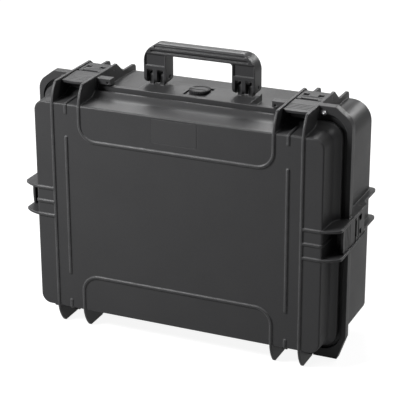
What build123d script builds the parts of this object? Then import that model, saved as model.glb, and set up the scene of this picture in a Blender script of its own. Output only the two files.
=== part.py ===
from build123d import *
import math
import os

os.makedirs("parts", exist_ok=True)

# Hard case that stands on its feet as it is carried: X runs along the case, the lid faces -Y,
# the handle points up. The origin is at the middle of the footprint, on the floor.

# Base shell
shell_half_width = 262.0
shell_half_height = 185.5
shell_top_corner_radius = 35.0
shell_bottom_corner_radius = 12.0
shell_depth = 139.0
side_wall = 8.5
top_wall = 4.5
back_wall = 6.0
back_edge_radius = 10.0
cavity_corner_radius = 30.0
inside_edge_radius = 8.0

# Base rim: the neck that meets the lid, a flange behind it and a raised lip round the flange
neck_line_inset = 6.5
neck_line_drop = 1.0
neck_line_radius = 24.0
neck_wall = 4.0
neck_length = 7.7
parting_gap = 0.3
flange_overhang = 12.0
flange_rise = 12.0
flange_thickness = 8.0
lip_height = 6.0
channel_overhang = 4.6
channel_rise = 16.0
channel_corner_radius = 34.0

# Lid shell
lid_depth = 60.0
lid_face_inset = 11.2
lid_face_drop = 4.0
lid_corner_radius = 17.0
lid_wall = 5.0
lid_draft = 2.5
lid_face_edge_radius = 2.5
lid_inside_edge_radius = 4.0
rim_overhang = 7.5
rim_thickness = 5.0
cove_length = 17.0
cove_sag = 0.3

# Seal in the lid rim
gasket_width = 5.0
gasket_depth = 4.0

# Plates that stand out round the case: latch guards on top and sides, feet below
plate_thickness = 4.0
outer_plate_inset = 45.0
plate_pitch = 48.5
guard_reach = 29.0
foot_reach = 31.0
side_guard_reach = 17.0
side_latch_rise = 6.5
plate_tip_setback = 14.0
foot_tip_setback = 17.0
plate_tip_radius = 3.0
foot_tip_radius = 5.5
lean_start = 12.0
lean_bow = 0.3
plate_front_gap = 1.0
plate_root = 3.0
guard_length = 75.0
notch_slope = 1.3
tail_reach = 10.0
tail_end_radius = 9.0
foot_start = 20.0
foot_length = 118.0
foot_slope = 10.0
foot_corner_radius = 6.0

# Raised ribs on the lid face and the back
rib_proud = 2.0
rib_width = 4.0
rib_root = 2.0
upper_panel_drop = 59.0
lower_panel_drop = 64.3
middle_rib_top_drop = 54.8
panel_rib_radius = 28.0
wrap_rib_proud = 1.5
wrap_rib_length = 16.0
badge_half_width = 39.0
badge_height = 39.5
badge_drop = 4.5
badge_thickness = 1.2
badge_proud = 0.5
badge_corner_radius = 3.0

# Ears of the flange beside the latches
outer_ear_run = 29.0
outer_ear_cut_height = 21.0
outer_ear_corner_radius = 26.0
foot_ear_cut = 14.0
foot_ear_cut_height = 40.0
inner_ear_run = 27.5
inner_ear_drop = 3.0
ear_gap = 0.6
padlock_hole_run = 10.5
ear_hole_drop = 10.0
eyelet_bore_radius = 3.25
eyelet_wall = 1.0
inner_ear_hole_run = 21.5
inner_ear_hole_radius = 2.2

# Latches: a windowed body on a pin between the base plates and a grip lever on its own pin
latch_side_clearance = 0.45
latch_sink = 2.0
latch_pin_back = 67.0
latch_pin_sink = 8.0
latch_pin_radius = 2.0
latch_barrel_radius = 5.0
latch_plate = 5.0
barrel_flat = 1.0
lever_pin_back = 28.0
lever_pin_sink = 7.5
lever_pin_radius = 1.5
lever_knuckle_radius = 4.2
lever_knuckle_half_width = 13.6
knuckle_side_gap = 0.4
cheek_setback = 1.2
lever_tip_ahead = 31.0
lever_tip_sink = 3.0
lever_plate = 4.0
lever_tip_round = 95.0
web_inset = 0.5
web_overlap = 2.0
hook_depth = 19.0
hook_thickness = 4.0
hook_half_width = 14.0
hook_clearance = 0.3
window_size = 9.5
window_spread = 12.5
window_back = 2.0
field_ahead = 9.5
field_length = 8.0
field_drop = 0.8
grip_groove_count = 4
grip_groove_pitch = 6.6
grip_groove_width = 1.8
grip_groove_depth = 0.6
grip_groove_start = 12.0

# Catch bar across the lid plates
catch_bar_radius = 3.4
catch_bar_ahead = 6.0
catch_bar_sink = 15.0

# Lid hinges below the case
hinge_pin_height = 9.5
hinge_pin_back = 2.0
hinge_pin_radius = 3.0
hinge_knuckle_radius = 8.5
hinge_side_gap = 0.3
hinge_strap_back = 14.0

# Carrying handle
handle_half_width = 97.7
handle_leg_width = 39.6
handle_depth = 29.0
handle_grip_height = 17.5
handle_outer_radius = 30.0
handle_inner_radius = 5.0
handle_foot_radius = 8.0
handle_edge_radius = 9.0
handle_groove_end = 12.0
handle_groove_step = 6.0
handle_pin_inset = 1.0
handle_back = 52.5
handle_pin_rise = 14.9
handle_rise = 56.6
handle_leg_drop = 11.4
handle_leg_round = 11.2
handle_pin_radius = 3.0
handle_groove_height = 3.6
handle_groove_depth = 3.0
handle_groove_pitch = 7.6
handle_panel_height = 19.5
handle_panel_depth = 2.5
handle_panel_border = 2.4
handle_panel_corner = 1.0
lug_width = 7.0
lug_pitch = 18.5
lug_stem_depth = 13.0
lug_eye_margin = 0.5
lug_side_gap = 2.0
lug_top_gap = 6.0

# Raised platform on the base top that carries the handle lugs and the valve
platform_rise = 12.0
platform_half_width = 98.0
platform_behind_handle = 17.0
platform_wall = 6.5
platform_side_wall = 4.5

# Pressure valve in a recess of the platform
valve_back = 43.5
valve_recess_width = 39.0
valve_recess_length = 45.0
valve_recess_ahead = 3.5
valve_recess_drop = 2.5
valve_bush_flange_radius = 14.0
valve_bush_flange = 1.0
valve_bush_radius = 8.0
valve_bush_tail = 1.0
valve_bore_radius = 4.0
valve_seal_radius = 12.5
valve_seal_height = 0.8
valve_nut_radius = 13.0
valve_nut_height = 5.0
valve_knob_radius = 18.0
valve_knob_height = 4.4
valve_knob_chamfer = 0.6
valve_grip_count = 30
valve_grip_radius = 1.1
valve_knob_dish_radius = 13.0
valve_knob_dish_drop = 1.0
valve_knob_bar_width = 6.0
knob_lift = 0.3

# Running fits
pin_clearance = 0.05
turn_clearance = 0.1
seat_clearance = 0.02
pin_chamfer = 0.4

# Depths worked out from the sizes, from the lid face to the back
overall_depth = 2 * rib_proud + lid_depth + parting_gap + neck_length + shell_depth
face_y = -overall_depth / 2 + rib_proud
lid_back_y = face_y + lid_depth
rim_front_y = lid_back_y - rim_thickness
cove_front_y = rim_front_y - cove_length
neck_front_y = lid_back_y + parting_gap
flange_front_y = neck_front_y + neck_length
lip_front_y = flange_front_y - lip_height
flange_back_y = flange_front_y + flange_thickness
shell_back_y = overall_depth / 2 - rib_proud

# Half sizes of the rims and the lid
draft_slope = math.tan(math.radians(lid_draft))
neck_line_half_width = shell_half_width - neck_line_inset
neck_line_half_height = shell_half_height - neck_line_drop
flange_half_width = shell_half_width + flange_overhang
flange_half_height = shell_half_height + flange_rise
lid_face_half_width = shell_half_width - lid_face_inset
lid_face_half_height = shell_half_height - lid_face_drop
rim_half_width = lid_face_half_width + lid_depth * draft_slope + rim_overhang
rim_half_height = lid_face_half_height + lid_depth * draft_slope + rim_overhang

# Heights and places of the plates, latches, handle and valve
middle_z = shell_half_height + foot_reach
top_z = middle_z + shell_half_height
bottom_z = middle_z - shell_half_height
guard_half_height = shell_half_height + guard_reach
foot_half_height = shell_half_height + foot_reach
plate_top_z = middle_z + guard_half_height
plate_side_x = shell_half_width + side_guard_reach
outer_plate_x = shell_half_width - outer_plate_inset
inner_plate_x = outer_plate_x - plate_pitch
plate_spread = plate_pitch / 2
latch_middle_x = outer_plate_x - plate_spread
side_latch_height = middle_z + side_latch_rise
latch_gap = plate_pitch - plate_thickness
latch_half_width = latch_gap / 2 - latch_side_clearance
latch_pin_y = lid_back_y + latch_pin_back
lever_pin_y = lid_back_y + lever_pin_back
hinge_pin_y = lid_back_y + hinge_pin_back
handle_y = lid_back_y + handle_back
platform_top_z = top_z + platform_rise
handle_pin_z = platform_top_z + handle_pin_rise
leg_middle_x = handle_half_width - handle_leg_width / 2
valve_y = lid_back_y + valve_back


def wall_plane(y):
    """Plane across the case at depth y: local X to the right, local Y up from the middle height."""
    return Plane(origin=(0, y, middle_z), x_dir=(1, 0, 0), z_dir=(0, -1, 0))


def outward_plane(x, z, outward):
    """Plane along the case's depth at (x, z): local X runs back, local Y points outward."""
    across = Vector(0, 1, 0).cross(Vector(*outward))
    return Plane(origin=(x, 0, z), x_dir=(0, 1, 0), z_dir=across)


UP = (0, 0, 1)
DOWN = (0, 0, -1)
RIGHT = (1, 0, 0)
LEFT = (-1, 0, 0)

latch_planes = {
    "top_left": outward_plane(-latch_middle_x, plate_top_z, UP),
    "top_right": outward_plane(latch_middle_x, plate_top_z, UP),
    "side_left": outward_plane(-plate_side_x, side_latch_height, LEFT),
    "side_right": outward_plane(plate_side_x, side_latch_height, RIGHT),
}


def bore(plane, back, outward, radius, half_length):
    """Round hole along the pin direction of a latch or hinge plane."""
    with BuildSketch(plane) as hole:
        with Locations((back, outward)):
            Circle(radius)
    extrude(hole.sketch, amount=half_length, both=True, mode=Mode.SUBTRACT)


def pin_along(plane, back, outward, radius, half_length):
    """Round pin along the pin direction of a latch or hinge plane, its ends chamfered."""
    with BuildPart() as pin:
        with BuildSketch(plane):
            with Locations((back, outward)):
                Circle(radius)
        extrude(amount=half_length, both=True)
        chamfer(pin.edges().filter_by(GeomType.CIRCLE), pin_chamfer)
    return pin.part


def save(part, name):
    """Label a finished piece and write it under its own name."""
    part.label = name
    export_step(part, f"parts/{name}.step")


# Base plates: latch guards on top and sides, feet below
plate_front_y = lid_back_y + plate_front_gap
guard_end_y = plate_front_y + guard_length
tail_end_y = shell_back_y + rib_proud
back_wall_middle_y = shell_back_y - back_wall / 2


def guard_plate(plane, reach):
    """Base plate beside a latch: a high guard, a notch behind it and a low tail round the back edge."""
    notch_y = guard_end_y + notch_slope * (reach - tail_reach)
    with BuildSketch(plane) as outline:
        with BuildLine():
            Polyline(
                (plate_front_y, -plate_root),
                (plate_front_y, reach),
                (guard_end_y, reach),
                (notch_y, tail_reach),
                (tail_end_y, tail_reach),
                (tail_end_y, -2 * back_edge_radius),
                (back_wall_middle_y, -2 * back_edge_radius),
                (back_wall_middle_y, -plate_root),
                close=True,
            )
        make_face()
        fillet(outline.vertices().group_by(Axis.X)[-1].sort_by(Axis.Y)[-1], tail_end_radius)
    extrude(outline.sketch, amount=plate_thickness / 2, both=True)


def foot_plate(plane):
    """Base foot: a plate that stands on the floor behind the hinge."""
    front = lid_back_y + foot_start
    with BuildSketch(plane) as outline:
        with BuildLine():
            Polyline(
                (front - foot_slope, -plate_root),
                (front, foot_reach),
                (front + foot_length, foot_reach),
                (front + foot_length + foot_slope, -plate_root),
                close=True,
            )
        make_face()
        fillet(outline.vertices().group_by(Axis.Y)[-1], foot_corner_radius)
    extrude(outline.sketch, amount=plate_thickness / 2, both=True)


def hinge_strap(plane):
    """Base hinge leaf: a round eye for the hinge pin on a strap from the flange."""
    pin_outward = foot_reach - hinge_pin_height
    strap_back = hinge_pin_y + hinge_strap_back
    with BuildSketch(plane) as outline:
        with BuildLine():
            Polyline(
                (plate_front_y, -plate_root),
                (plate_front_y, pin_outward),
                (hinge_pin_y, pin_outward + hinge_knuckle_radius),
                (hinge_pin_y + hinge_knuckle_radius, pin_outward),
                (strap_back, -plate_root),
                close=True,
            )
        make_face()
        with Locations((hinge_pin_y, pin_outward)):
            Circle(hinge_knuckle_radius)
    extrude(outline.sketch, amount=plate_thickness / 2, both=True)


def upright_ribs(half_length, places, proud_y, direction):
    """Raised vertical ribs on a flat wall, rooted just inside it."""
    with BuildSketch(wall_plane(proud_y)) as ribs:
        with Locations(*[(x, 0) for x in places]):
            Rectangle(rib_width, 2 * half_length)
    extrude(ribs.sketch, amount=direction * (rib_proud + rib_root))


# Handle lugs on the base top: a stem and an eye round each handle pin
handle_lug_places = [
    side * leg_middle_x + shift for side in (-1, 1) for shift in (-lug_pitch / 2, lug_pitch / 2)
]
lug_eye_radius = lug_stem_depth / 2 + lug_eye_margin


def handle_lug(x):
    """One lug under the handle, with its eye open for the handle pin."""
    plane = outward_plane(x, platform_top_z, UP)
    with BuildSketch(plane) as outline:
        with Locations((handle_y, (handle_pin_rise - plate_root) / 2)):
            Rectangle(lug_stem_depth, handle_pin_rise + plate_root)
        with Locations((handle_y, handle_pin_rise)):
            Circle(lug_eye_radius)
    extrude(outline.sketch, amount=lug_width / 2, both=True)
    bore(plane, handle_y, handle_pin_rise, handle_pin_radius + pin_clearance, lug_width)


foot_ear_x = outer_plate_x + plate_thickness / 2 + ear_gap
cavity_half_width = shell_half_width - side_wall
cavity_half_height = shell_half_height - top_wall
cavity_depth = neck_length + shell_depth - back_wall
hinge_strap_places = (
    inner_plate_x + plate_thickness + hinge_side_gap,
    outer_plate_x - plate_thickness - hinge_side_gap,
)
ear_hole_height = guard_half_height - ear_hole_drop
padlock_hole_places = [(side * (outer_plate_x + padlock_hole_run), ear_hole_height) for side in (-1, 1)]
inner_ear_hole_places = [(side * (inner_plate_x - inner_ear_hole_run), ear_hole_height) for side in (-1, 1)]
platform_front_y = flange_back_y - flange_thickness / 2
platform_back_y = handle_y + platform_behind_handle
platform_middle_y = (platform_front_y + platform_back_y) / 2
platform_length = platform_back_y - platform_front_y
platform_inside_z = platform_top_z - platform_wall
platform_pocket_front_y = flange_back_y + platform_side_wall
platform_pocket_back_y = platform_back_y - platform_side_wall
platform_pocket_middle_y = (platform_pocket_front_y + platform_pocket_back_y) / 2
platform_pocket_length = platform_pocket_back_y - platform_pocket_front_y
platform_pocket_width = 2 * (platform_half_width - platform_side_wall)
valve_recess_floor_z = platform_top_z - valve_recess_drop


def flange_outline():
    """Flange seen from the front, with its ears beside the top latches and its corner feet."""
    with BuildSketch(wall_plane(flange_front_y)) as outline:
        with BuildLine():
            Polyline(
                (0, flange_half_height),
                (inner_plate_x - inner_ear_run, flange_half_height),
                (inner_plate_x - inner_ear_run, guard_half_height - inner_ear_drop),
                (inner_plate_x, guard_half_height - inner_ear_drop),
                (inner_plate_x, flange_half_height),
                (outer_plate_x, flange_half_height),
                (outer_plate_x, guard_half_height),
                (outer_plate_x + outer_ear_run, guard_half_height),
                (flange_half_width, guard_half_height - outer_ear_cut_height),
                (flange_half_width, foot_ear_cut_height - foot_half_height),
                (flange_half_width - foot_ear_cut, -foot_half_height),
                (foot_ear_x, -foot_half_height),
                (foot_ear_x, -flange_half_height),
                (0, -flange_half_height),
                close=True,
            )
        make_face()
        fillet(outline.vertices().group_by(Axis.X)[-1].sort_by(Axis.Y)[-1], outer_ear_corner_radius)
        mirror(about=Plane.YZ)
    return outline.sketch


with BuildPart() as base_shell:
    with BuildSketch(wall_plane(flange_front_y)) as shell_section:
        Rectangle(2 * shell_half_width, 2 * shell_half_height)
        fillet(shell_section.vertices().group_by(Axis.Y)[-1], shell_top_corner_radius)
        fillet(shell_section.vertices().group_by(Axis.Y)[0], shell_bottom_corner_radius)
    extrude(amount=-shell_depth)
    fillet(base_shell.edges().group_by(Axis.Y)[-1], back_edge_radius)

    # Flange, and the raised lip round the channel that the lid rim closes over
    extrude(flange_outline(), amount=-flange_thickness)
    extrude(flange_outline(), amount=lip_height)
    with BuildSketch(wall_plane(flange_front_y)):
        RectangleRounded(
            2 * (shell_half_width + channel_overhang),
            2 * (shell_half_height + channel_rise),
            channel_corner_radius,
        )
    extrude(amount=lip_height, mode=Mode.SUBTRACT)

    # Neck that meets the seal in the lid
    with BuildSketch(wall_plane(neck_front_y)):
        RectangleRounded(
            2 * neck_line_half_width + neck_wall,
            2 * neck_line_half_height + neck_wall,
            neck_line_radius + neck_wall / 2,
        )
    extrude(amount=-(neck_length + flange_thickness / 2))

    # Inside of the base
    with BuildSketch(wall_plane(neck_front_y)):
        RectangleRounded(2 * cavity_half_width, 2 * cavity_half_height, cavity_corner_radius)
    extrude(amount=-cavity_depth, mode=Mode.SUBTRACT)
    inside_floor = base_shell.faces().filter_by(Axis.Y).sort_by(Axis.Y)[-2]
    fillet(inside_floor.edges(), inside_edge_radius)

    # Room for the side latches through the flange
    flange_run = flange_back_y - lip_front_y
    side_gap_middle_x = shell_half_width + side_guard_reach / 2
    side_gap_middle_y = lip_front_y + flange_run / 2
    side_gaps = [(side * side_gap_middle_x, side_gap_middle_y, side_latch_height) for side in (-1, 1)]
    with Locations(*side_gaps):
        Box(side_guard_reach, flange_run, latch_gap, mode=Mode.SUBTRACT)

    # Plates round the case, feet and hinge straps below
    for side in (-1, 1):
        for plate_x in (inner_plate_x, outer_plate_x):
            guard_plate(outward_plane(side * plate_x, top_z, UP), guard_reach)
            foot_plate(outward_plane(side * plate_x, bottom_z, DOWN))
        for strap_x in hinge_strap_places:
            hinge_strap(outward_plane(side * strap_x, bottom_z, DOWN))
        for shift in (-plate_spread, plate_spread):
            side_plane = outward_plane(side * shell_half_width, side_latch_height + shift, (side, 0, 0))
            guard_plate(side_plane, side_guard_reach)

    # Ribs on the back
    back_rib_x = (-outer_plate_x, -inner_plate_x, inner_plate_x, outer_plate_x)
    upright_ribs(shell_half_height - back_edge_radius, back_rib_x, shell_back_y + rib_proud, 1)

    # Raised platform, hollow from inside, with the handle lugs on it
    with BuildSketch(Plane((0, platform_middle_y, top_z - top_wall / 2))):
        Rectangle(2 * platform_half_width, platform_length)
    extrude(amount=platform_rise + top_wall / 2)
    with BuildSketch(Plane((0, platform_pocket_middle_y, top_z - 2 * top_wall))):
        Rectangle(platform_pocket_width, platform_pocket_length)
    extrude(amount=platform_inside_z - top_z + 2 * top_wall, mode=Mode.SUBTRACT)
    for lug_x in handle_lug_places:
        handle_lug(lug_x)

    # Recess for the valve, open over the flange side, and its hole
    with Locations((0, valve_y - valve_recess_ahead, platform_top_z)):
        Box(
            valve_recess_width,
            valve_recess_length,
            2 * valve_recess_drop,
            mode=Mode.SUBTRACT,
        )
    with BuildSketch(Plane((0, valve_y, platform_top_z))):
        Circle(valve_bush_radius + seat_clearance)
    extrude(amount=-2 * platform_wall, mode=Mode.SUBTRACT)

    # Holes for the latch pins, the hinge pins, the padlock eyelets and the small ears
    for plane in latch_planes.values():
        latch_bore_half = plate_spread + plate_thickness
        bore(plane, latch_pin_y, -latch_pin_sink, latch_pin_radius + seat_clearance, latch_bore_half)
    for side in (-1, 1):
        hinge_plane = outward_plane(side * latch_middle_x, 0, UP)
        bore(hinge_plane, hinge_pin_y, hinge_pin_height, hinge_pin_radius + seat_clearance, plate_spread)
    with BuildSketch(wall_plane(lip_front_y)):
        with Locations(*padlock_hole_places):
            Circle(eyelet_bore_radius + eyelet_wall + seat_clearance)
        with Locations(*inner_ear_hole_places):
            Circle(inner_ear_hole_radius)
    extrude(amount=-flange_run, mode=Mode.SUBTRACT)
save(base_shell.part, "base_shell")


# Lid shell
draft_growth = lid_depth * draft_slope
lid_back_half_width = lid_face_half_width + draft_growth
lid_back_half_height = lid_face_half_height + draft_growth
lid_root = lid_wall / 2


def lid_plate(plane, reach, is_foot):
    """Lid plate: it rises from a face rib, leans back to its tip and runs back to the rim."""
    tip_y = face_y + (foot_tip_setback if is_foot else plate_tip_setback)
    rib_y = face_y - rib_proud
    bow = (rib_y + lean_bow * (tip_y - face_y), reach / 2 - lean_start / 4)
    with BuildSketch(plane) as outline:
        with BuildLine():
            Line((face_y + lid_root, -2 * lean_start), (rib_y, -2 * lean_start))
            Line((rib_y, -2 * lean_start), (rib_y, -lean_start / 2))
            ThreePointArc((rib_y, -lean_start / 2), bow, (tip_y, reach))
            Line((tip_y, reach), (lid_back_y, reach))
            Line((lid_back_y, reach), (lid_back_y, 0))
            Line((lid_back_y, 0), (face_y + lid_root, -lid_root))
            Line((face_y + lid_root, -lid_root), (face_y + lid_root, -2 * lean_start))
        make_face()
        tips = outline.vertices().group_by(Axis.Y)[-1]
        fillet(tips.sort_by(Axis.X)[0], foot_tip_radius if is_foot else plate_tip_radius)
        if is_foot:
            with Locations((hinge_pin_y, reach - hinge_pin_height)):
                Circle(hinge_knuckle_radius)
    extrude(outline.sketch, amount=plate_thickness / 2, both=True)


def wrap_rib(plane):
    """Short rib that runs over the edge of the lid face and back along the wall to the cove."""
    rib_y = face_y - wrap_rib_proud
    rib_top_end = (cove_front_y - face_y) * draft_slope + wrap_rib_proud
    crown = lid_face_edge_radius + wrap_rib_proud
    crown_middle = crown * (1 - math.sin(math.pi / 4))
    with BuildSketch(plane) as outline:
        with BuildLine():
            Line((face_y + lid_root, -wrap_rib_length), (rib_y, -wrap_rib_length))
            Line((rib_y, -wrap_rib_length), (rib_y, wrap_rib_proud - crown))
            ThreePointArc(
                (rib_y, wrap_rib_proud - crown),
                (rib_y + crown_middle, wrap_rib_proud - crown_middle),
                (rib_y + crown, wrap_rib_proud),
            )
            Line((rib_y + crown, wrap_rib_proud), (cove_front_y, rib_top_end))
            Line((cove_front_y, rib_top_end), (cove_front_y, 0))
            Line((cove_front_y, 0), (face_y + lid_root, -lid_root))
            Line((face_y + lid_root, -lid_root), (face_y + lid_root, -wrap_rib_length))
        make_face()
    extrude(outline.sketch, amount=rib_width / 2, both=True)


side_plate_places = (side_latch_height - plate_spread, side_latch_height, side_latch_height + plate_spread)
lid_guard_reach = guard_half_height - lid_face_half_height
lid_foot_reach = foot_half_height - lid_face_half_height
lid_side_reach = plate_side_x - lid_face_half_width
rib_end = lid_face_half_height - lid_face_edge_radius
panel_top = lid_face_half_height - upper_panel_drop
panel_bottom = lower_panel_drop - lid_face_half_height
middle_rib_top = lid_face_half_height - middle_rib_top_drop
badge_middle = lid_face_half_height - badge_drop - badge_height / 2

with BuildPart() as lid_shell:
    with BuildSketch(wall_plane(lid_back_y)):
        RectangleRounded(2 * lid_back_half_width, 2 * lid_back_half_height, lid_corner_radius + draft_growth)
    extrude(amount=lid_depth, taper=lid_draft)
    fillet(lid_shell.edges().group_by(Axis.Y)[0], lid_face_edge_radius)

    # Rim, and the hollow cove that leads up to it
    with BuildSketch(wall_plane(lid_back_y)):
        RectangleRounded(2 * rim_half_width, 2 * rim_half_height, lid_corner_radius + rim_overhang)
    extrude(amount=rim_thickness)
    wall_at_rim = lid_face_half_height + (rim_front_y - face_y) * draft_slope
    side_at_rim = lid_face_half_width + (rim_front_y - face_y) * draft_slope
    wall_at_cove = lid_face_half_height + (cove_front_y - face_y) * draft_slope
    with BuildLine(wall_plane(rim_front_y)) as cove_path:
        FilletPolyline(
            (0, wall_at_rim),
            (side_at_rim, wall_at_rim),
            (side_at_rim, -wall_at_rim),
            (0, -wall_at_rim),
            radius=lid_corner_radius,
        )
        mirror(about=Plane.YZ)
    cove_middle_y = (cove_front_y + rim_front_y) / 2
    cove_middle_height = wall_at_cove + cove_sag * (rim_half_height - wall_at_cove)
    with BuildSketch(outward_plane(0, middle_z, UP)):
        with BuildLine():
            Line((cove_front_y, wall_at_cove - lid_root), (cove_front_y, wall_at_cove))
            ThreePointArc(
                (cove_front_y, wall_at_cove),
                (cove_middle_y, cove_middle_height),
                (rim_front_y, rim_half_height),
            )
            Line((rim_front_y, rim_half_height), (rim_front_y, wall_at_cove - lid_root))
            Line((rim_front_y, wall_at_cove - lid_root), (cove_front_y, wall_at_cove - lid_root))
        make_face()
    sweep(path=cove_path.line)

    # Inside of the lid
    with BuildSketch(wall_plane(lid_back_y)):
        RectangleRounded(
            2 * (lid_back_half_width - lid_wall),
            2 * (lid_back_half_height - lid_wall),
            lid_corner_radius + draft_growth - lid_wall,
        )
    extrude(amount=lid_depth - lid_wall, taper=lid_draft, mode=Mode.SUBTRACT)
    inside_face = lid_shell.faces().filter_by(Axis.Y).sort_by(Axis.Y)[1]
    fillet(inside_face.edges(), lid_inside_edge_radius)

    # Ribs on the face: full height outside, two panel lines inside, short ones between
    upright_ribs(rib_end, (-outer_plate_x, outer_plate_x), face_y - rib_proud, -1)
    with BuildSketch(wall_plane(face_y - rib_proud)):
        with BuildLine():
            FilletPolyline(
                (-inner_plate_x, rib_end),
                (-inner_plate_x, panel_top),
                (inner_plate_x, panel_top),
                (inner_plate_x, rib_end),
                radius=panel_rib_radius,
            )
        trace(line_width=rib_width)
        with BuildLine():
            FilletPolyline(
                (-inner_plate_x, -rib_end),
                (-inner_plate_x, panel_bottom),
                (inner_plate_x, panel_bottom),
                (inner_plate_x, -rib_end),
                radius=panel_rib_radius,
            )
        trace(line_width=rib_width)
        with Locations(*[(side * latch_middle_x, (middle_rib_top + panel_bottom) / 2) for side in (-1, 1)]):
            Rectangle(rib_width, middle_rib_top - panel_bottom)
        rib_run = lid_face_half_width - lid_face_edge_radius - outer_plate_x
        for side in (-1, 1):
            for height in side_plate_places:
                with Locations((side * (outer_plate_x + rib_run / 2), height - middle_z)):
                    Rectangle(rib_run, rib_width)
    extrude(amount=-(rib_proud + rib_root))

    # Plates: latch guards on top and sides, feet with hinge eyes below, short ribs between them
    for side in (-1, 1):
        for plate_x in (inner_plate_x, outer_plate_x):
            top_plane = outward_plane(side * plate_x, middle_z + lid_face_half_height, UP)
            foot_plane = outward_plane(side * plate_x, middle_z - lid_face_half_height, DOWN)
            lid_plate(top_plane, lid_guard_reach, is_foot=False)
            lid_plate(foot_plane, lid_foot_reach, is_foot=True)
        for height in (side_plate_places[0], side_plate_places[2]):
            side_plane = outward_plane(side * lid_face_half_width, height, (side, 0, 0))
            lid_plate(side_plane, lid_side_reach, is_foot=False)
        wrap_rib(outward_plane(side * latch_middle_x, middle_z + lid_face_half_height, UP))
        wrap_rib(outward_plane(side * latch_middle_x, middle_z - lid_face_half_height, DOWN))
        wrap_rib(outward_plane(side * lid_face_half_width, side_latch_height, (side, 0, 0)))

    # Catch bars between the guard plates
    for plane in latch_planes.values():
        with BuildSketch(plane) as bar:
            with Locations((lid_back_y - catch_bar_ahead, -catch_bar_sink)):
                Circle(catch_bar_radius)
        extrude(bar.sketch, amount=plate_spread, both=True)

    # Groove for the seal in the back of the rim
    with BuildSketch(wall_plane(lid_back_y)):
        RectangleRounded(
            2 * neck_line_half_width + gasket_width,
            2 * neck_line_half_height + gasket_width,
            neck_line_radius + gasket_width / 2,
        )
        RectangleRounded(
            2 * neck_line_half_width - gasket_width,
            2 * neck_line_half_height - gasket_width,
            neck_line_radius - gasket_width / 2,
            mode=Mode.SUBTRACT,
        )
    extrude(amount=gasket_depth, mode=Mode.SUBTRACT)

    # Holes for the hinge pins, and the seat of the badge plate
    for side in (-1, 1):
        hinge_plane = outward_plane(side * latch_middle_x, 0, UP)
        hinge_bore_half = plate_spread + plate_thickness
        bore(hinge_plane, hinge_pin_y, hinge_pin_height, hinge_pin_radius + pin_clearance, hinge_bore_half)
    with BuildSketch(wall_plane(face_y)):
        with Locations((0, badge_middle)):
            RectangleRounded(
                2 * badge_half_width + 2 * seat_clearance,
                badge_height + 2 * seat_clearance,
                badge_corner_radius,
            )
    extrude(amount=-(badge_thickness - badge_proud), mode=Mode.SUBTRACT)
save(lid_shell.part, "lid_shell")


# Seal in the groove of the lid rim
gasket_seat_width = gasket_width - 2 * seat_clearance
with BuildPart() as rim_gasket:
    with BuildSketch(wall_plane(lid_back_y)):
        RectangleRounded(
            2 * neck_line_half_width + gasket_seat_width,
            2 * neck_line_half_height + gasket_seat_width,
            neck_line_radius + gasket_seat_width / 2,
        )
        RectangleRounded(
            2 * neck_line_half_width - gasket_seat_width,
            2 * neck_line_half_height - gasket_seat_width,
            neck_line_radius - gasket_seat_width / 2,
            mode=Mode.SUBTRACT,
        )
    extrude(amount=gasket_depth)
save(rim_gasket.part, "rim_gasket")


# Bare badge plate, seated in the lid face
with BuildPart() as badge_plate:
    with BuildSketch(wall_plane(face_y - badge_proud)):
        with Locations((0, badge_middle)):
            RectangleRounded(2 * badge_half_width, badge_height, badge_corner_radius)
    extrude(amount=-badge_thickness)
    fillet(badge_plate.edges().group_by(Axis.Y)[0], badge_proud / 2)
save(badge_plate.part, "badge_plate")


# Padlock eyelets: a tube through each outer ear with a thin rolled rim in front
with BuildPart() as padlock_eyelets:
    with BuildSketch(wall_plane(flange_back_y)):
        with Locations(*padlock_hole_places):
            Circle(eyelet_bore_radius + eyelet_wall)
    extrude(amount=flange_run)
    with BuildSketch(wall_plane(lip_front_y)):
        with Locations(*padlock_hole_places):
            Circle(eyelet_bore_radius + 2 * eyelet_wall)
    extrude(amount=eyelet_wall / 2)
    with BuildSketch(wall_plane(flange_back_y)):
        with Locations(*padlock_hole_places):
            Circle(eyelet_bore_radius)
    extrude(amount=flange_run + eyelet_wall, mode=Mode.SUBTRACT)
save(padlock_eyelets.part, "padlock_eyelets")


# Latch parts, drawn on the latch plane: local X runs back, local Y outward, pins across
latch_front_y = lever_pin_y + lever_knuckle_radius + knuckle_side_gap
latch_middle_y = (latch_front_y + latch_pin_y) / 2
body_top = -latch_sink
body_bottom = -latch_sink - latch_plate


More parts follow.
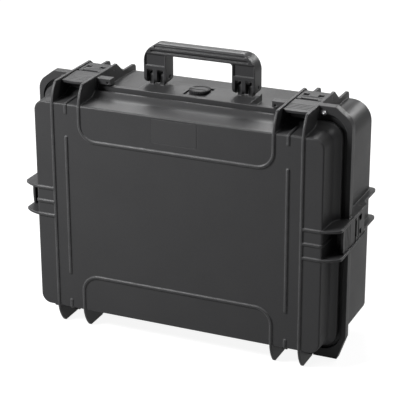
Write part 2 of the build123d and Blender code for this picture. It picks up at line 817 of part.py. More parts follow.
def make_latch_body(plane):
    """Windowed latch body: a plate with a barrel on the base pin and two eyes for the lever pin."""
    eye_width = latch_half_width - lever_knuckle_half_width - knuckle_side_gap
    eye_middle = lever_knuckle_half_width + knuckle_side_gap + eye_width / 2
    with BuildPart() as body:
        with BuildSketch(plane):
            with BuildLine():
                Polyline(
                    (latch_front_y, body_bottom),
                    (latch_front_y, body_top),
                    (latch_pin_y, body_top),
                    (latch_pin_y, body_bottom),
                    close=True,
                )
            make_face()
            with Locations((latch_pin_y, -latch_pin_sink)):
                Circle(latch_barrel_radius)
            with Locations((latch_pin_y, body_top - latch_barrel_radius / 2)):
                Rectangle(2 * (latch_barrel_radius - barrel_flat), latch_barrel_radius)
        extrude(amount=latch_half_width, both=True)
        for side in (-1, 1):
            with BuildSketch(plane.offset(side * eye_middle)) as eye:
                with Locations((lever_pin_y, -lever_pin_sink)):
                    Circle(lever_knuckle_radius)
                cheek_front_y = lever_pin_y + cheek_setback
                cheek_length = latch_front_y + web_overlap - cheek_front_y
                with Locations((cheek_front_y + cheek_length / 2, body_bottom + latch_plate / 2)):
                    Rectangle(cheek_length, latch_plate)
            extrude(eye.sketch, amount=eye_width / 2, both=True)
        # Two square windows, with a shallow field between them and the front edge
        for side in (-1, 1):
            window = Location((latch_middle_y + window_back, body_top, side * window_spread))
            with Locations(plane.location * window):
                Box(window_size, 3 * latch_plate, window_size, mode=Mode.SUBTRACT)
        with Locations(plane.location * Location((latch_middle_y - field_ahead, body_top, 0))):
            Box(field_length, 2 * field_drop, 2 * window_spread + window_size, mode=Mode.SUBTRACT)
        bore(plane, latch_pin_y, -latch_pin_sink, latch_pin_radius + pin_clearance, latch_gap / 2)
        bore(plane, lever_pin_y, -lever_pin_sink, lever_pin_radius + seat_clearance, latch_gap / 2)
    return body.part


def make_latch_lever(plane):
    """Grip lever: a sloped plate with cross grooves, an eye on the lever pin and a hook below its tip."""
    tip_y = lid_back_y - lever_tip_ahead
    plate_back_y = lever_pin_y - lever_knuckle_radius - knuckle_side_gap
    slope = (lever_tip_sink - latch_sink) / (plate_back_y - tip_y)
    hook_back_y = lid_back_y - catch_bar_ahead - catch_bar_radius - hook_clearance
    hook_front_y = hook_back_y - hook_thickness
    with BuildPart() as lever:
        with BuildSketch(plane):
            with BuildLine():
                Polyline(
                    (tip_y, -lever_tip_sink),
                    (plate_back_y, -latch_sink),
                    (plate_back_y, -latch_sink - lever_plate),
                    (tip_y, -lever_tip_sink - lever_plate),
                    close=True,
                )
            make_face()
        extrude(amount=latch_half_width, both=True)
        with BuildSketch(plane) as eye:
            with Locations((lever_pin_y, -lever_pin_sink)):
                Circle(lever_knuckle_radius)
            with BuildLine():
                Polyline(
                    (plate_back_y - web_overlap, -latch_sink - lever_plate + web_inset),
                    (plate_back_y - web_overlap, -latch_sink - web_inset),
                    (lever_pin_y, -lever_pin_sink + lever_knuckle_radius),
                    (lever_pin_y, -lever_pin_sink),
                    close=True,
                )
            make_face()
        extrude(eye.sketch, amount=lever_knuckle_half_width, both=True)
        with BuildSketch(plane) as hook:
            with BuildLine():
                Polyline(
                    (hook_front_y, -lever_tip_sink - lever_plate / 2),
                    (hook_front_y, -hook_depth),
                    (hook_back_y, -hook_depth),
                    (hook_back_y, -lever_tip_sink - lever_plate / 2),
                    close=True,
                )
            make_face()
        extrude(hook.sketch, amount=hook_half_width, both=True)
        tip_round = Location((tip_y + lever_tip_round, -latch_sink, 0), (90, 0, 0))
        with Locations(plane.location * tip_round):
            Cylinder(lever_tip_round, 4 * hook_depth, mode=Mode.INTERSECT)
        for number in range(grip_groove_count):
            groove_y = tip_y + grip_groove_start + number * grip_groove_pitch
            groove_top = -lever_tip_sink + slope * (groove_y - tip_y)
            with Locations(plane.location * Location((groove_y, groove_top, 0))):
                Box(grip_groove_width, 2 * grip_groove_depth, latch_gap, mode=Mode.SUBTRACT)
        bore(plane, lever_pin_y, -lever_pin_sink, lever_pin_radius + pin_clearance, latch_half_width)
    return lever.part


latch_pin_half = plate_spread + plate_thickness / 2
for place, plane in latch_planes.items():
    save(make_latch_body(plane), f"latch_body_{place}")
    save(make_latch_lever(plane), f"latch_lever_{place}")
    latch_pin = pin_along(plane, latch_pin_y, -latch_pin_sink, latch_pin_radius, latch_pin_half)
    save(latch_pin, f"latch_pin_{place}")
    lever_pin = pin_along(plane, lever_pin_y, -lever_pin_sink, lever_pin_radius, latch_half_width)
    save(lever_pin, f"lever_pin_{place}")

for side, side_name in ((-1, "left"), (1, "right")):
    hinge_plane = outward_plane(side * latch_middle_x, 0, UP)
    hinge_pin = pin_along(hinge_plane, hinge_pin_y, hinge_pin_height, hinge_pin_radius, latch_pin_half)
    save(hinge_pin, f"hinge_pin_{side_name}")


# Carrying handle: a bail whose legs carry a pin each, hung in the lugs of the base
handle_top_z = handle_pin_z + handle_rise
handle_bottom_z = handle_pin_z - handle_leg_drop
handle_height = handle_top_z - handle_bottom_z
handle_opening_half = handle_half_width - handle_leg_width
handle_plane = Plane(origin=(0, handle_y, handle_bottom_z), x_dir=(1, 0, 0), z_dir=(0, -1, 0))
slot_top = handle_leg_drop + lug_eye_radius + lug_top_gap
slot_width = lug_width + 2 * lug_side_gap

with BuildPart() as handle:
    with BuildSketch(handle_plane) as handle_front:
        with Locations((0, handle_height / 2)):
            Rectangle(2 * handle_half_width, handle_height)
        fillet(handle_front.vertices().group_by(Axis.Y)[-1], handle_outer_radius)
        with BuildSketch(mode=Mode.SUBTRACT) as opening:
            with Locations((0, (handle_height - handle_grip_height) / 2)):
                Rectangle(2 * handle_opening_half, handle_height - handle_grip_height)
            fillet(opening.vertices().group_by(Axis.Y)[-1], handle_inner_radius)
        fillet(handle_front.vertices().group_by(Axis.Y)[0], handle_foot_radius)
    extrude(amount=handle_depth / 2, both=True)
    with BuildSketch(outward_plane(0, handle_bottom_z, UP)) as handle_side:
        with Locations((handle_y, handle_height / 2)):
            Rectangle(handle_depth, handle_height)
        fillet(handle_side.vertices().group_by(Axis.Y)[0], handle_leg_round)
        fillet(handle_side.vertices().group_by(Axis.Y)[-1], handle_edge_radius)
    extrude(amount=handle_half_width, both=True, mode=Mode.INTERSECT)

    # Finger grooves along the grip and recessed panels on the legs, front and back
    for side in (-1, 1):
        groove_face = handle_plane.offset(side * handle_depth / 2)
        with BuildSketch(groove_face) as grooves:
            for rise in (-handle_groove_pitch / 2, handle_groove_pitch / 2):
                with Locations((0, handle_height - handle_grip_height / 2 + rise)):
                    groove_half = handle_half_width - handle_groove_end - (rise > 0) * handle_groove_step
                    SlotOverall(2 * groove_half, handle_groove_height)
        extrude(grooves.sketch, amount=-side * handle_groove_depth, mode=Mode.SUBTRACT)
        with BuildSketch(groove_face) as panels:
            for leg in (-1, 1):
                panel_middle = handle_height - handle_grip_height - handle_panel_height / 2
                with Locations((leg * leg_middle_x, panel_middle)):
                    panel_width = handle_leg_width - 2 * handle_panel_border
                    RectangleRounded(panel_width, handle_panel_height, handle_panel_corner)
        extrude(panels.sketch, amount=-side * handle_panel_depth, mode=Mode.SUBTRACT)

    # Slots round the lugs, open below and through the leg from front to back
    for lug_x in handle_lug_places:
        with Locations((lug_x, handle_y, handle_bottom_z + slot_top / 2)):
            Box(slot_width, handle_depth, slot_top, mode=Mode.SUBTRACT)
    for side in (-1, 1):
        leg_plane = outward_plane(side * leg_middle_x, handle_pin_z, UP)
        bore(leg_plane, handle_y, 0, handle_pin_radius + seat_clearance, handle_leg_width)
save(handle.part, "handle")

for side, side_name in ((-1, "left"), (1, "right")):
    leg_plane = outward_plane(side * leg_middle_x, handle_pin_z, UP)
    handle_pin = pin_along(leg_plane, handle_y, 0, handle_pin_radius, handle_leg_width / 2 - handle_pin_inset)
    save(handle_pin, f"handle_pin_{side_name}")


# Pressure valve: sealing ring, bush through the wall, nut inside, knurled knob outside
seal_top_z = valve_recess_floor_z + valve_seal_height
bush_top_z = seal_top_z + valve_bush_flange
nut_bottom_z = platform_inside_z - valve_nut_height
bush_bottom_z = nut_bottom_z - valve_bush_tail
knob_bottom_z = bush_top_z + knob_lift


def valve_plane(z):
    """Horizontal plane on the valve's axis."""
    return Plane((0, valve_y, z))


with BuildPart() as valve_seal:
    with BuildSketch(valve_plane(valve_recess_floor_z)):
        Circle(valve_seal_radius)
        Circle(valve_bush_radius + seat_clearance, mode=Mode.SUBTRACT)
    extrude(amount=valve_seal_height)
save(valve_seal.part, "valve_seal")

with BuildPart() as valve_bush:
    with BuildSketch(valve_plane(seal_top_z)):
        Circle(valve_bush_flange_radius)
    extrude(amount=valve_bush_flange)
    with BuildSketch(valve_plane(bush_bottom_z)):
        Circle(valve_bush_radius)
    extrude(amount=seal_top_z - bush_bottom_z)
    with BuildSketch(valve_plane(bush_bottom_z)):
        Circle(valve_bore_radius)
    extrude(amount=bush_top_z - bush_bottom_z, mode=Mode.SUBTRACT)
save(valve_bush.part, "valve_bush")

with BuildPart() as valve_nut:
    with BuildSketch(valve_plane(nut_bottom_z)):
        RegularPolygon(valve_nut_radius, 6)
        Circle(valve_bush_radius + seat_clearance, mode=Mode.SUBTRACT)
    extrude(amount=valve_nut_height)
save(valve_nut.part, "valve_nut")

with BuildPart() as valve_knob:
    with BuildSketch(valve_plane(knob_bottom_z)):
        Circle(valve_knob_radius)
        with PolarLocations(valve_knob_radius, valve_grip_count):
            Circle(valve_grip_radius, mode=Mode.SUBTRACT)
    extrude(amount=valve_knob_height)
    chamfer(valve_knob.edges().group_by(Axis.Z)[-1].filter_by(GeomType.CIRCLE), valve_knob_chamfer)
    with BuildSketch(valve_plane(knob_bottom_z + valve_knob_height)):
        Circle(valve_knob_dish_radius)
        SlotOverall(2 * valve_knob_radius, valve_knob_bar_width, mode=Mode.SUBTRACT)
    extrude(amount=-valve_knob_dish_drop, mode=Mode.SUBTRACT)
    with BuildSketch(valve_plane(bush_bottom_z)):
        Circle(valve_bore_radius - turn_clearance)
    extrude(amount=knob_bottom_z - bush_bottom_z)
save(valve_knob.part, "valve_knob")
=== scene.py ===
import bmesh
import bpy
import math
from mathutils import Matrix, Vector


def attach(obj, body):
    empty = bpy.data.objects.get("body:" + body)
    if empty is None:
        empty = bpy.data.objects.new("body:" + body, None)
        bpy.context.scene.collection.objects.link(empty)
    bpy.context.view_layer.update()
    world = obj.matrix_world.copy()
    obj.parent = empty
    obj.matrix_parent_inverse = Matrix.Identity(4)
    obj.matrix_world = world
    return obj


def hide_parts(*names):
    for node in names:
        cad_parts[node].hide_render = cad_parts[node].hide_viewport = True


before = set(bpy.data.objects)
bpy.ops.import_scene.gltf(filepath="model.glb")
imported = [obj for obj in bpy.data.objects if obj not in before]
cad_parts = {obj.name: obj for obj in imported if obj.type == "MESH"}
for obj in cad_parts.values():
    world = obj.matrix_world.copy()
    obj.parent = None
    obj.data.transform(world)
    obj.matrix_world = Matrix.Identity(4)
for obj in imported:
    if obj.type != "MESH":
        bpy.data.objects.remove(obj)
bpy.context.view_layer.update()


# Camera: it stands in front of the case, to its right and above it, where the edges of the case line
# up with the photo's. Its focal length is counted in pixels of a frame that is 400 pixels wide.
camera_azimuth = math.radians(23.78)
camera_elevation = math.radians(21.8)
camera_roll = math.radians(-0.2)
camera_distance = 2.660
camera_target = Vector((0.0008, -0.0035, 0.225))
camera_reach = 20.0
sensor_width = 36.0
focal_pixels = 1600.0
frame_pixels = 400.0

camera_back = Vector((
    math.sin(camera_azimuth) * math.cos(camera_elevation),
    -math.cos(camera_azimuth) * math.cos(camera_elevation),
    math.sin(camera_elevation),
))
camera_data = bpy.data.cameras.new("photo_camera")
camera = bpy.data.objects.new("photo_camera", camera_data)
bpy.context.scene.collection.objects.link(camera)
camera_data.sensor_width = sensor_width
camera_data.lens = sensor_width * focal_pixels / frame_pixels
camera_data.clip_end = camera_reach
camera.location = camera_target + camera_distance * camera_back
camera.rotation_euler = (
    camera_back.to_track_quat("Z", "Y").to_matrix() @ Matrix.Rotation(camera_roll, 3, "Z")
).to_euler()
bpy.context.scene.camera = camera


# Studio: pale seamless paper under and behind the case, one soft lamp high behind at the left, one in
# front at the left, a small one over the right side, a low one behind, and a weak even glow. The
# camera sees the paper as white, with the case's shadow on it, and reflections show it dimmer.
floor_half = 6.0
paper_colour = (0.28, 0.28, 0.28, 1.0)
paper_roughness = 0.9
paper_lift_level = 0.90
white_light = (1.0, 1.0, 1.0, 1.0)
glow_level = 0.05
backdrop_level = 1.0
reflected_level = 0.45

floor_mesh = bpy.data.meshes.new("studio_floor")
floor_corners = [(-1, -1), (1, -1), (1, 1), (-1, 1)]
floor_mesh.from_pydata(
    [(x * floor_half, y * floor_half, 0) for x, y in floor_corners], [], [(0, 1, 2, 3)]
)
floor = bpy.data.objects.new("studio_floor", floor_mesh)
bpy.context.scene.collection.objects.link(floor)


def math_node(tree, operation, *values, clamp=False):
    """Math node fed by sockets or plain numbers."""
    node = tree.nodes.new("ShaderNodeMath")
    node.operation = operation
    node.use_clamp = clamp
    for socket, value in zip(node.inputs, values):
        if isinstance(value, (int, float)):
            socket.default_value = value
        else:
            tree.links.new(value, socket)
    return node.outputs[0]


def seen_directly(tree):
    """One for rays of the camera and through glass, less for a reflection, otherwise nothing."""
    sight = tree.nodes.new("ShaderNodeLightPath")
    mirrored = math_node(
        tree, "MULTIPLY_ADD",
        sight.outputs["Is Glossy Ray"], reflected_level, sight.outputs["Is Transmission Ray"],
    )
    return math_node(tree, "MAXIMUM", sight.outputs["Is Camera Ray"], mirrored)


paper = bpy.data.materials.new("studio_paper")
paper.use_nodes = True
paper_tree = paper.node_tree
paper_shader = paper_tree.nodes["Principled BSDF"]
paper_shader.inputs["Base Color"].default_value = paper_colour
paper_shader.inputs["Roughness"].default_value = paper_roughness
paper_shader.inputs["Emission Color"].default_value = white_light
paper_lift = math_node(paper_tree, "MULTIPLY", seen_directly(paper_tree), paper_lift_level)
paper_tree.links.new(paper_lift, paper_shader.inputs["Emission Strength"])
floor_mesh.materials.append(paper)


def area_lamp(name, location, target, size, power):
    """Square soft lamp aimed at a point."""
    lamp_data = bpy.data.lights.new(name, "AREA")
    lamp_data.size = size
    lamp_data.energy = power
    lamp = bpy.data.objects.new(name, lamp_data)
    bpy.context.scene.collection.objects.link(lamp)
    lamp.location = location
    aim = Vector(location) - Vector(target)
    lamp.rotation_euler = aim.to_track_quat("Z", "Y").to_euler()


area_lamp("overhead_softbox", location=(-0.6, 1.4, 1.8), target=(0, 0, 0.3), size=0.9, power=27)
area_lamp("front_softbox", location=(-0.8, -1.0, 1.25), target=(0, 0, 0.35), size=0.5, power=32)
area_lamp("side_softbox", location=(0.85, 0.35, 1.3), target=(0.2, 0, 0.35), size=0.4, power=3.0)
area_lamp("back_strip", location=(0.6, 2.1, 1.15), target=(0, 0, 0.35), size=0.5, power=10)

world = bpy.data.worlds.new("studio_world")
bpy.context.scene.world = world
world.use_nodes = True
world_tree = world.node_tree
world_glow = world_tree.nodes["Background"]
world_glow.inputs["Color"].default_value = white_light
world_level = world_tree.nodes.new("ShaderNodeMapRange")
world_level.inputs["To Min"].default_value = glow_level
world_level.inputs["To Max"].default_value = backdrop_level
world_tree.links.new(seen_directly(world_tree), world_level.inputs["Value"])
world_tree.links.new(world_level.outputs["Result"], world_glow.inputs["Strength"])
bpy.context.scene.view_settings.view_transform = "Standard"


# Base shell: the deep half of the case, injection moulded in one piece from charcoal polypropylene.
# Its guards, feet, ears and hinge straps are part of the moulding, with small rounds on every edge
# and a fine spark-etched grain, smoother along the edges, whose paler colour is part rubbing, part
# painted highlight.
shell_colour = (0.043, 0.043, 0.0443)
# Paler edge colour: partly rubbing, partly a painted highlight
shell_rubbed_highlight_colour = (0.190, 0.190, 0.194)
shell_roughness = 0.40
shell_round = 0.0009
shell_grain_depth = 0.00035
shell_edge_width = 0.0020
merge_distance = 0.00002
flat_angle = math.radians(0.6)
sharp_angle = math.radians(32)
flat_face_weight = 80


def plain_mesh(piece):
    """Turns a piece with its modifiers into a plain mesh, in place."""
    bpy.context.view_layer.update()
    evaluated = piece.evaluated_get(bpy.context.evaluated_depsgraph_get())
    finished = bpy.data.meshes.new_from_object(evaluated)
    piece.modifiers.clear()
    piece.data = finished
    finished.name = piece.name


def rounded_copy(node_name, piece_name, round_width, segments=2):
    """Merged copy of a CAD node with small rounds on its sharp edges."""
    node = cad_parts[node_name]
    mesh = bmesh.new()
    mesh.from_mesh(node.data)
    bmesh.ops.remove_doubles(mesh, verts=mesh.verts, dist=merge_distance)
    bmesh.ops.dissolve_degenerate(mesh, edges=mesh.edges, dist=merge_distance)
    bmesh.ops.dissolve_limit(mesh, angle_limit=flat_angle, verts=mesh.verts, edges=mesh.edges)
    for face in mesh.faces:
        face.smooth = True
    merged = bpy.data.meshes.new(piece_name)
    mesh.to_mesh(merged)
    mesh.free()
    piece = bpy.data.objects.new(piece_name, merged)
    bpy.context.scene.collection.objects.link(piece)
    rounds = piece.modifiers.new("edge_rounds", "BEVEL")
    rounds.width = round_width
    rounds.segments = segments
    rounds.limit_method = "ANGLE"
    rounds.angle_limit = sharp_angle
    rounds.use_clamp_overlap = True
    rounds.miter_outer = "MITER_ARC"
    flats = piece.modifiers.new("flat_faces", "WEIGHTED_NORMAL")
    flats.mode = "FACE_AREA"
    flats.weight = flat_face_weight
    flats.keep_sharp = True
    plain_mesh(piece)
    return piece


def new_group(name, inputs, outputs):
    """Shader node group with named sockets; each one is (name, socket type, default)."""
    tree = bpy.data.node_groups.new(name, "ShaderNodeTree")
    for socket_name, kind, default in inputs:
        socket = tree.interface.new_socket(socket_name, in_out="INPUT", socket_type=kind)
        if default is not None:
            socket.default_value = default
    for socket_name, kind in outputs:
        tree.interface.new_socket(socket_name, in_out="OUTPUT", socket_type=kind)
    return tree, tree.nodes.new("NodeGroupInput"), tree.nodes.new("NodeGroupOutput")


def noise_node(tree, vector, scale, detail):
    """Noise texture read from a vector; its scale is a number or a socket."""
    node = tree.nodes.new("ShaderNodeTexNoise")
    node.inputs["Detail"].default_value = detail
    tree.links.new(vector, node.inputs["Vector"])
    if isinstance(scale, (int, float)):
        node.inputs["Scale"].default_value = scale
    else:
        tree.links.new(scale, node.inputs["Scale"])
    return node.outputs[0]


# Grain of a spark-etched mould: a fine stipple, and wide soft patches that shift its tone and gloss
mould_grain, grain_in, grain_out = new_group(
    "mould_grain",
    [
        ("Vector", "NodeSocketVector", None),
        ("Grain Size", "NodeSocketFloat", 0.0006),
        ("Patch Size", "NodeSocketFloat", 0.05),
    ],
    [("Height", "NodeSocketFloat"), ("Patches", "NodeSocketFloat")],
)
grain_scale = math_node(mould_grain, "DIVIDE", 1.0, grain_in.outputs["Grain Size"])
patch_scale = math_node(mould_grain, "DIVIDE", 1.0, grain_in.outputs["Patch Size"])
stipple = noise_node(mould_grain, grain_in.outputs["Vector"], grain_scale, detail=2.0)
patches = noise_node(mould_grain, grain_in.outputs["Vector"], patch_scale, detail=3.0)
mould_grain.links.new(stipple, grain_out.inputs["Height"])
mould_grain.links.new(patches, grain_out.inputs["Patches"])

# Edges: the normal is rounded over a small width, so that an edge catches the light, and where it
# leaves the true one the edge is painted paler, broken up by noise: partly rubbing, partly a painted
# highlight
rub_highlight_gain = 4.5
rub_highlight_noise_scale = 90.0
edge_rub_and_highlight, rub_highlight_in, rub_highlight_out = new_group(
    "edge_rub_and_highlight",
    [
        ("Vector", "NodeSocketVector", None),
        ("Width", "NodeSocketFloat", 0.0012),
        ("Amount", "NodeSocketFloat", 1.0),
    ],
    [("Rub And Highlight", "NodeSocketFloat"), ("Rounded Normal", "NodeSocketVector")],
)
edge_bevel = edge_rub_and_highlight.nodes.new("ShaderNodeBevel")
edge_bevel.samples = 8
edge_rub_and_highlight.links.new(edge_bevel.outputs[0], rub_highlight_out.inputs["Rounded Normal"])
edge_rub_and_highlight.links.new(rub_highlight_in.outputs["Width"], edge_bevel.inputs["Radius"])
edge_geometry = edge_rub_and_highlight.nodes.new("ShaderNodeNewGeometry")
edge_turn_dot = edge_rub_and_highlight.nodes.new("ShaderNodeVectorMath")
edge_turn_dot.operation = "DOT_PRODUCT"
edge_rub_and_highlight.links.new(edge_bevel.outputs[0], edge_turn_dot.inputs[0])
edge_rub_and_highlight.links.new(edge_geometry.outputs["True Normal"], edge_turn_dot.inputs[1])
# Mask for the paler edge colour: partly rubbing, partly a painted highlight along the edges
edge_turn = math_node(edge_rub_and_highlight, "SUBTRACT", 1.0, edge_turn_dot.outputs["Value"])
rub_highlight_edge = math_node(edge_rub_and_highlight, "MULTIPLY", edge_turn, rub_highlight_gain, clamp=True)
rub_highlight_noise = noise_node(edge_rub_and_highlight, rub_highlight_in.outputs["Vector"], rub_highlight_noise_scale, detail=3.0)
rub_highlight_broken = math_node(edge_rub_and_highlight, "MULTIPLY", rub_highlight_edge, rub_highlight_noise)
rub_highlight_mask = math_node(edge_rub_and_highlight, "MULTIPLY", rub_highlight_broken, rub_highlight_in.outputs["Amount"], clamp=True)
edge_rub_and_highlight.links.new(rub_highlight_mask, rub_highlight_out.inputs["Rub And Highlight"])


def place_group(tree, group, vector, **values):
    """Puts a node group into a material, reading the given coordinates."""
    node = tree.nodes.new("ShaderNodeGroup")
    node.node_tree = group
    tree.links.new(vector, node.inputs["Vector"])
    for name, value in values.items():
        node.inputs[name.replace("_", " ").title()].default_value = value
    return node


def colour_mix(tree, factor, first, second):
    """Colour between two colours, each a socket or a plain colour."""
    node = tree.nodes.new("ShaderNodeMix")
    node.data_type = "RGBA"
    tree.links.new(factor, node.inputs["Factor"])
    for socket, value in ((node.inputs[6], first), (node.inputs[7], second)):
        if isinstance(value, tuple):
            socket.default_value = (*value, 1.0)
        else:
            tree.links.new(value, socket)
    return node.outputs[2]


def toned(colour, tone):
    """A colour made darker or paler by one factor."""
    return tuple(tone * channel for channel in colour)


def new_surface(name):
    """New material, with its tree, its shader and the piece's own coordinates."""
    material = bpy.data.materials.new(name)
    material.use_nodes = True
    tree = material.node_tree
    place = tree.nodes.new("ShaderNodeTexCoord").outputs["Object"]
    return material, tree, tree.nodes["Principled BSDF"], place


def fine_relief(tree, shader, height, depth, strength):
    """Bump from a height pattern; returns its node, whose Normal input can take a rounded normal."""
    bump = tree.nodes.new("ShaderNodeBump")
    bump.inputs["Strength"].default_value = strength
    bump.inputs["Distance"].default_value = depth
    tree.links.new(height, bump.inputs["Height"])
    tree.links.new(bump.outputs["Normal"], shader.inputs["Normal"])
    return bump


plastic_specular = 0.22
plastic_grain_size = 0.0013
plastic_patch_size = 0.06
plastic_relief = 0.5
deep_tone = 0.76
pale_tone = 1.24
stipple_share = 0.65
patch_share = 0.35
patch_gloss_swing = 0.16
rub_polish = 0.10


def moulded_plastic(name, colour, rubbed_highlight_colour, roughness, grain_depth, edge_width):
    """Moulded plastic with a fine grain, soft patches, smoother edges and a paler edge colour that is
    partly rubbing, partly a painted highlight.
    """
    material, tree, shader, place = new_surface(name)
    shader.inputs["Specular IOR Level"].default_value = plastic_specular
    grain = place_group(
        tree, mould_grain, place, grain_size=plastic_grain_size, patch_size=plastic_patch_size
    )
    rub_and_highlight = place_group(tree, edge_rub_and_highlight, place, width=edge_width, amount=1.0)
    patch_mottle = math_node(tree, "MULTIPLY", grain.outputs["Patches"], patch_share)
    mottle = math_node(tree, "MULTIPLY_ADD", grain.outputs["Height"], stipple_share, patch_mottle)
    body_colour = colour_mix(tree, mottle, toned(colour, deep_tone), toned(colour, pale_tone))
    # Edges painted paler: partly rubbing, partly a painted highlight
    face_colour = colour_mix(tree, rub_and_highlight.outputs["Rub And Highlight"], body_colour, rubbed_highlight_colour)
    tree.links.new(face_colour, shader.inputs["Base Color"])
    least_rough = roughness - patch_gloss_swing / 2
    patch_rough = math_node(
        tree, "MULTIPLY_ADD", grain.outputs["Patches"], patch_gloss_swing, least_rough
    )
    polish = math_node(tree, "MULTIPLY", rub_and_highlight.outputs["Rub And Highlight"], rub_polish)
    tree.links.new(math_node(tree, "SUBTRACT", patch_rough, polish), shader.inputs["Roughness"])
    bump = fine_relief(tree, shader, grain.outputs["Height"], grain_depth, plastic_relief)
    tree.links.new(rub_and_highlight.outputs["Rounded Normal"], bump.inputs["Normal"])
    return material


def coat(mesh, material):
    """Gives a mesh one material in place of any other."""
    mesh.materials.clear()
    mesh.materials.append(material)


def dress(piece, material, slot_name, body, *nodes):
    """Gives a finished piece its material, hides the CAD nodes it stands for and hangs it on its body.
    """
    coat(piece.data, material)
    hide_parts(*nodes)
    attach(piece, body)


case_plastic = moulded_plastic(
    "case_plastic", shell_colour, shell_rubbed_highlight_colour, shell_roughness,
    grain_depth=shell_grain_depth, edge_width=shell_edge_width,
)
base_moulding = rounded_copy("base_shell", "base_moulding", shell_round)
dress(base_moulding, case_plastic, "shell_plastic", "base", "base_shell")


# Lid shell: the shallow half, moulded in the same plastic, with raised ribs round the panels of its
# face, a drafted wall, a hollow cove up to the rim and its own plates beside the latches and feet.
# Its ribs and edges have wider rounds than those of the base.
lid_edge_width = 0.0036
lid_plastic = moulded_plastic(
    "lid_plastic", shell_colour, shell_rubbed_highlight_colour, shell_roughness,
    grain_depth=shell_grain_depth, edge_width=lid_edge_width,
)
lid_moulding = rounded_copy("lid_shell", "lid_moulding", shell_round)
dress(lid_moulding, lid_plastic, "shell_plastic", "lid", "lid_shell")


# Badge: a thin blank plate of hard charcoal plastic, moulded on its own and glued to the lid face.
# Its face is smoother than the shell round it, and its edges are almost sharp.
badge_colour = (0.047, 0.047, 0.0483)
# Paler edge colour: partly rubbing, partly a painted highlight
badge_rubbed_highlight_colour = (0.12, 0.12, 0.12)
badge_roughness = 0.38
badge_edge_width = 0.0005
badge_round = 0.0003
smooth_grain_depth = 0.0001
badge_plastic = moulded_plastic(
    "badge_plastic", badge_colour, badge_rubbed_highlight_colour, badge_roughness,
    grain_depth=smooth_grain_depth, edge_width=badge_edge_width,
)
badge = rounded_copy("badge_plate", "blank_badge", badge_round)
dress(badge, badge_plastic, "badge_plastic", "lid", "badge_plate")


# Latches: each is a windowed body on a steel pin between two guards, with a grooved grip lever on its
# own pin and a hook below it. They are moulded in a tougher, slightly smoother and darker plastic.
latch_colour = (0.034, 0.034, 0.0355)
# Paler edge colour: partly rubbing, partly a painted highlight
latch_rubbed_highlight_colour = (0.13, 0.13, 0.132)
latch_roughness = 0.36
latch_edge_width = 0.0010
latch_round = 0.0005
latch_plastic = moulded_plastic(
    "latch_plastic", latch_colour, latch_rubbed_highlight_colour, latch_roughness,
    grain_depth=smooth_grain_depth, edge_width=latch_edge_width,
)
for latch_place in ("top_left", "top_right", "side_left", "side_right"):
    for body_kind, node_kind, piece_kind in (
        ("latch", "latch_body", "windowed_latch"),
        ("lever", "latch_lever", "grip_lever"),
    ):
        latch_node = f"{node_kind}_{latch_place}"
        latch_piece = rounded_copy(latch_node, f"{piece_kind}_{latch_place}", latch_round)
        dress(latch_piece, latch_plastic, "latch_plastic", f"{body_kind}_{latch_place}", latch_node)


# Carrying handle: one thick moulding on two pins, with long grooves in the grip and recessed panels
# and slots in its legs. It is the same plastic as the latches, with wider rounds for the hand.
handle_colour = (0.036, 0.036, 0.0375)
# Paler edge colour: partly rubbing, partly a painted highlight
handle_rubbed_highlight_colour = (0.13, 0.13, 0.132)
handle_roughness = 0.36
handle_edge_width = 0.0020
handle_round = 0.0012
handle_round_steps = 3
handle_plastic = moulded_plastic(
    "handle_plastic", handle_colour, handle_rubbed_highlight_colour, handle_roughness,
    grain_depth=smooth_grain_depth, edge_width=handle_edge_width,
)
bail = rounded_copy("handle", "bail_handle", handle_round, segments=handle_round_steps)
dress(bail, handle_plastic, "handle_plastic", "carry_handle", "handle")


# Pressure valve: a knurled knob over a flanged bush that a nut holds inside the wall, on a rubber
# washer. Knob, bush and nut are moulded plastic, and the knob has a ring of short ribs moulded on its
# top, which the radial_ribs tree lays out round its middle.
valve_colour = (0.034, 0.034, 0.0355)
# Paler edge colour: partly rubbing, partly a painted highlight
valve_rubbed_highlight_colour = (0.09, 0.09, 0.092)
valve_roughness = 0.40
valve_edge_width = 0.0005
knob_round = 0.0003
rib_count = 30
rib_ring_radius = 0.0152
rib_size = (0.0030, 0.0009, 0.0008)
valve_plastic = moulded_plastic(
    "valve_plastic", valve_colour, valve_rubbed_highlight_colour, valve_roughness,
    grain_depth=smooth_grain_depth, edge_width=valve_edge_width,
)
knob = rounded_copy("valve_knob", "ribbed_knob", knob_round)
dress(knob, valve_plastic, "valve_plastic", "valve_cap", "valve_knob")

rib_tree = bpy.data.node_groups.new("radial_ribs", "GeometryNodeTree")
rib_tree.interface.new_socket("Geometry", in_out="OUTPUT", socket_type="NodeSocketGeometry")
rib_sockets = {}
for socket_name, kind in (
    ("Rib Count", "NodeSocketInt"),
    ("Ring Radius", "NodeSocketFloat"),
    ("Rib Size", "NodeSocketVector"),
    ("Centre", "NodeSocketVector"),
    ("Material", "NodeSocketMaterial"),
):
    rib_sockets[socket_name] = rib_tree.interface.new_socket(
        socket_name, in_out="INPUT", socket_type=kind
    ).identifier
rib_in = rib_tree.nodes.new("NodeGroupInput")
rib_out = rib_tree.nodes.new("NodeGroupOutput")
rib_ring = rib_tree.nodes.new("GeometryNodeMeshCircle")
rib_bar = rib_tree.nodes.new("GeometryNodeMeshCube")
rib_spot = rib_tree.nodes.new("GeometryNodeInputPosition")
rib_turn = rib_tree.nodes.new("FunctionNodeAlignRotationToVector")
rib_turn.axis = "X"
rib_turn.pivot_axis = "Z"
rib_spread = rib_tree.nodes.new("GeometryNodeInstanceOnPoints")
rib_place = rib_tree.nodes.new("GeometryNodeTransform")
rib_solid = rib_tree.nodes.new("GeometryNodeRealizeInstances")
rib_finish = rib_tree.nodes.new("GeometryNodeSetMaterial")
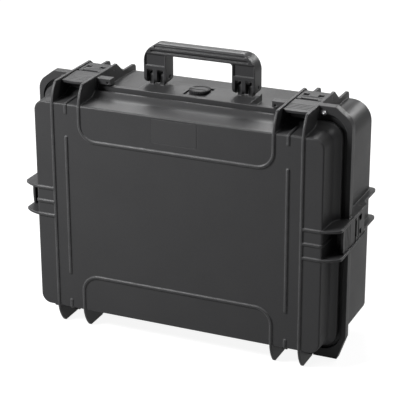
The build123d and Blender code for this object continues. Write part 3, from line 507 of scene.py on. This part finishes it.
for start, end in (
    (rib_in.outputs["Rib Count"], rib_ring.inputs["Vertices"]),
    (rib_in.outputs["Ring Radius"], rib_ring.inputs["Radius"]),
    (rib_in.outputs["Rib Size"], rib_bar.inputs["Size"]),
    (rib_spot.outputs["Position"], rib_turn.inputs["Vector"]),
    (rib_ring.outputs["Mesh"], rib_spread.inputs["Points"]),
    (rib_bar.outputs["Mesh"], rib_spread.inputs["Instance"]),
    (rib_turn.outputs["Rotation"], rib_spread.inputs["Rotation"]),
    (rib_spread.outputs["Instances"], rib_place.inputs["Geometry"]),
    (rib_in.outputs["Centre"], rib_place.inputs["Translation"]),
    (rib_place.outputs["Geometry"], rib_solid.inputs["Geometry"]),
    (rib_solid.outputs["Geometry"], rib_finish.inputs["Geometry"]),
    (rib_in.outputs["Material"], rib_finish.inputs["Material"]),
    (rib_finish.outputs["Geometry"], rib_out.inputs["Geometry"]),
):
    rib_tree.links.new(start, end)
knob_corners = [Vector(corner) for corner in knob.bound_box]
knob_top = max(corner.z for corner in knob_corners)
knob_centre = sum(knob_corners, Vector()) / len(knob_corners)
knob_ribs = bpy.data.objects.new("knob_top_ribs", bpy.data.meshes.new("knob_top_ribs"))
bpy.context.scene.collection.objects.link(knob_ribs)
rib_maker = knob_ribs.modifiers.new("radial_ribs", "NODES")
rib_maker.node_group = rib_tree
rib_maker[rib_sockets["Rib Count"]] = rib_count
rib_maker[rib_sockets["Ring Radius"]] = rib_ring_radius
rib_maker[rib_sockets["Rib Size"]] = rib_size
rib_maker[rib_sockets["Centre"]] = (knob_centre.x, knob_centre.y, knob_top)
rib_maker[rib_sockets["Material"]] = valve_plastic
plain_mesh(knob_ribs)
dress(knob_ribs, valve_plastic, "valve_plastic", "valve_cap", "valve_knob")
for valve_node in ("valve_bush", "valve_nut"):
    coat(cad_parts[valve_node].data, valve_plastic)


# Seals: the cord in the lid rim and the washer under the valve are moulded from soft black rubber and
# pressed into their seats without glue. Their faces are dull, with a thin dusty bloom.
rubber_colour = (0.016, 0.016, 0.016)
rubber_bloom_colour = (0.030, 0.030, 0.030)
rubber_roughness = 0.75
rubber_grain_size = 0.0015
rubber_patch_size = 0.02
rubber_grain_depth = 0.0001
rubber_relief = 0.4
seal_rubber, rubber_tree, rubber_shader, rubber_place = new_surface("seal_rubber")
rubber_grain = place_group(
    rubber_tree, mould_grain, rubber_place, grain_size=rubber_grain_size, patch_size=rubber_patch_size
)
rubber_bloom = colour_mix(
    rubber_tree, rubber_grain.outputs["Patches"], rubber_colour, rubber_bloom_colour
)
rubber_tree.links.new(rubber_bloom, rubber_shader.inputs["Base Color"])
rubber_shader.inputs["Roughness"].default_value = rubber_roughness
fine_relief(
    rubber_tree, rubber_shader, rubber_grain.outputs["Height"], rubber_grain_depth, rubber_relief
)
for seal_node in ("rim_gasket", "valve_seal"):
    coat(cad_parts[seal_node].data, seal_rubber)


# Pins and eyelets: blackened steel pins, pressed into the hinge straps, the latch guards, the latches
# and the handle lugs, and linings of bare pressed steel in the padlock holes. Both have fine drawn
# lines and a faint haze.
pin_colour = (0.10, 0.10, 0.103)
pin_roughness = 0.42
pin_lines = (0.15, 1.0, 1.0)
eyelet_colour = (0.26, 0.26, 0.265)
eyelet_roughness = 0.36
eyelet_lines = (1.0, 0.2, 1.0)
steel_line_scale = 2500.0
steel_haze_scale = 60.0
steel_haze_tone = 0.8
steel_gloss_swing = 0.2
steel_line_depth = 0.00003
steel_relief = 0.2


def drawn_steel(name, colour, roughness, line_stretch):
    """Steel with a mottled haze and fine lines, drawn out along the axis with the smallest stretch."""
    material, tree, shader, place = new_surface(name)
    shader.inputs["Metallic"].default_value = 1.0
    stretch = tree.nodes.new("ShaderNodeMapping")
    stretch.inputs["Scale"].default_value = line_stretch
    tree.links.new(place, stretch.inputs["Vector"])
    lines = noise_node(tree, stretch.outputs[0], steel_line_scale, detail=2.0)
    haze = noise_node(tree, place, steel_haze_scale, detail=3.0)
    hazy_colour = colour_mix(tree, haze, toned(colour, steel_haze_tone), colour)
    tree.links.new(hazy_colour, shader.inputs["Base Color"])
    least_rough = roughness - steel_gloss_swing / 2
    line_rough = math_node(tree, "MULTIPLY_ADD", lines, steel_gloss_swing, least_rough)
    tree.links.new(line_rough, shader.inputs["Roughness"])
    fine_relief(tree, shader, lines, steel_line_depth, steel_relief)
    return material


pin_steel = drawn_steel("pin_steel", pin_colour, pin_roughness, pin_lines)
eyelet_steel = drawn_steel("eyelet_steel", eyelet_colour, eyelet_roughness, eyelet_lines)
for node_name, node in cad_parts.items():
    if "_pin" in node_name:
        coat(node.data, pin_steel)
coat(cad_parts["padlock_eyelets"].data, eyelet_steel)
